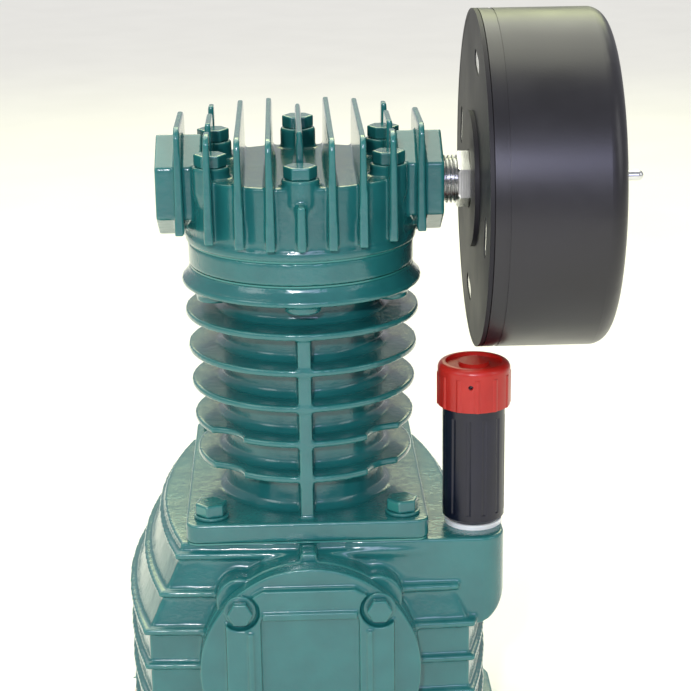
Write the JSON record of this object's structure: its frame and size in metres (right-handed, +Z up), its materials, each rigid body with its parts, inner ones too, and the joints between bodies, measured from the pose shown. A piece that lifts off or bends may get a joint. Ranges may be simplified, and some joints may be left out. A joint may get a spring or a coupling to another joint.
{
  "type": "air compressor pump",
  "caption": "Belt-drive air compressor pump with finned cylinder and head, ribbed crankcase, round intake filter, oil filler tube and bare drive shaft.",
  "frame": {"origin": "centre of the four foot holes, on the bottom face of the crankcase feet", "axes": "+Z up along the cylinder, +X towards the intake filter, +Y towards the end of the drive shaft"},
  "size_m": [0.2555, 0.2406, 0.3814],
  "materials": {
    "enamel": "gloss",
    "black_paint": "satin",
    "plated_steel": "satin",
    "ground_steel": "polished",
    "iron": "machined",
    "aluminium_alloy": "satin",
    "spring_steel": "satin",
    "bronze": "satin",
    "copper": "satin",
    "seal_rubber": "matt",
    "white_plastic": "satin",
    "tube_plastic": "satin",
    "cap_plastic": "satin",
    "filter_paper": "matt",
    "sight_glass": "gloss"
  },
  "bodies": {
    "pump": {"crankcase": "enamel", "front_cover": "enamel", "front_cover_gasket": "enamel", "front_cover_washers": "enamel", "front_cover_bolts": "enamel", "bearing_housing": "enamel", "bearing_housing_gasket": "enamel", "bearing_housing_bolts": "enamel", "front_bearing_outer": "ground_steel", "rear_bearing_outer": "ground_steel", "oil_seal": "seal_rubber", "cylinder": "enamel", "base_gasket": "enamel", "base_washers": "enamel", "base_bolts": "enamel", "cylinder_gasket": "enamel", "valve_plate": "enamel", "valve_stop": "plated_steel", "valve_screws": "plated_steel", "head_gasket": "enamel", "cylinder_head": "enamel", "head_bolts": "enamel", "intake_nipple": "plated_steel", "filter_base": "black_paint", "filter_element": "filter_paper", "filter_stud": "plated_steel", "filler_tube": "tube_plastic", "filler_seal": "white_plastic", "sight_glass": "sight_glass", "sight_bezel": "plated_steel", "drain_plug": "plated_steel", "drain_washer": "copper"},
    "crank": {"crankshaft": "iron", "front_bearing_inner": "ground_steel", "rear_bearing_inner": "ground_steel"},
    "front_cage": {"front_bearing_balls": "ground_steel"},
    "rear_cage": {"rear_bearing_balls": "ground_steel"},
    "piston": {"piston": "aluminium_alloy", "wrist_pin": "ground_steel", "wrist_pin_clips": "spring_steel", "top_ring": "iron", "second_ring": "iron", "oil_ring": "iron"},
    "rod": {"connecting_rod": "aluminium_alloy", "big_end_bush": "bronze", "small_end_bush": "bronze", "crank_pin": "ground_steel", "oil_dipper": "plated_steel"},
    "inlet_reed": {"inlet_reed": "spring_steel"},
    "discharge_reed": {"discharge_reed": "spring_steel"},
    "filter_cover": {"filter_can": "black_paint"},
    "cover_nut": {"cover_nut": "plated_steel"},
    "cap": {"filler_cap": "cap_plastic"}
  },
  "joints": [
    {"name": "crank_spin", "type": "hinge", "parent": "pump", "child": "crank", "pos_m": [0, 0, 0.096], "axis": [0, 1, 0], "continuous": true},
    {"name": "front_cage_spin", "type": "hinge", "parent": "pump", "child": "front_cage", "pos_m": [0, 0.019, 0.096], "axis": [0, 1, 0], "continuous": true},
    {"name": "rear_cage_spin", "type": "hinge", "parent": "pump", "child": "rear_cage", "pos_m": [0, 0.0708, 0.096], "axis": [0, 1, 0], "continuous": true},
    {"name": "piston_slide", "type": "slide", "parent": "pump", "child": "piston", "axis": [0, 0, 1], "range_m": [-0.05, 0]},
    {"name": "rod_swing", "type": "hinge", "parent": "piston", "child": "rod", "pos_m": [0, -0.019, 0.2434], "axis": [0, 1, 0], "range_deg": [-11.8, 11.8]},
    {"name": "inlet_reed_flex", "type": "hinge", "parent": "pump", "child": "inlet_reed", "pos_m": [0.0145, -0.01, 0.2691], "axis": [1, 0, 0], "range_deg": [0, 5], "stiffness_Nm_per_rad": 0.02, "springref_deg": -2.86},
    {"name": "discharge_reed_flex", "type": "hinge", "parent": "pump", "child": "discharge_reed", "pos_m": [-0.0145, -0.01, 0.2793], "axis": [-1, 0, 0], "range_deg": [0, 5], "stiffness_Nm_per_rad": 0.02, "springref_deg": -2.86},
    {"name": "filter_cover_slide", "type": "slide", "parent": "pump", "child": "filter_cover", "axis": [1, 0, 0], "range_m": [0, 0.06]},
    {"name": "cover_nut_spin", "type": "hinge", "parent": "filter_cover", "child": "cover_nut", "pos_m": [0.14, -0.019, 0.3046], "axis": [1, 0, 0], "continuous": true},
    {"name": "cap_turn", "type": "hinge", "parent": "pump", "child": "cap", "pos_m": [0.077, -0.051, 0.2], "axis": [0, 0, 1], "continuous": true}
  ],
  "couplings": [
    {"joint": "front_cage_spin", "follows": "crank_spin", "ratio": 0.4022},
    {"joint": "rear_cage_spin", "follows": "crank_spin", "ratio": 0.4022}
  ]
}
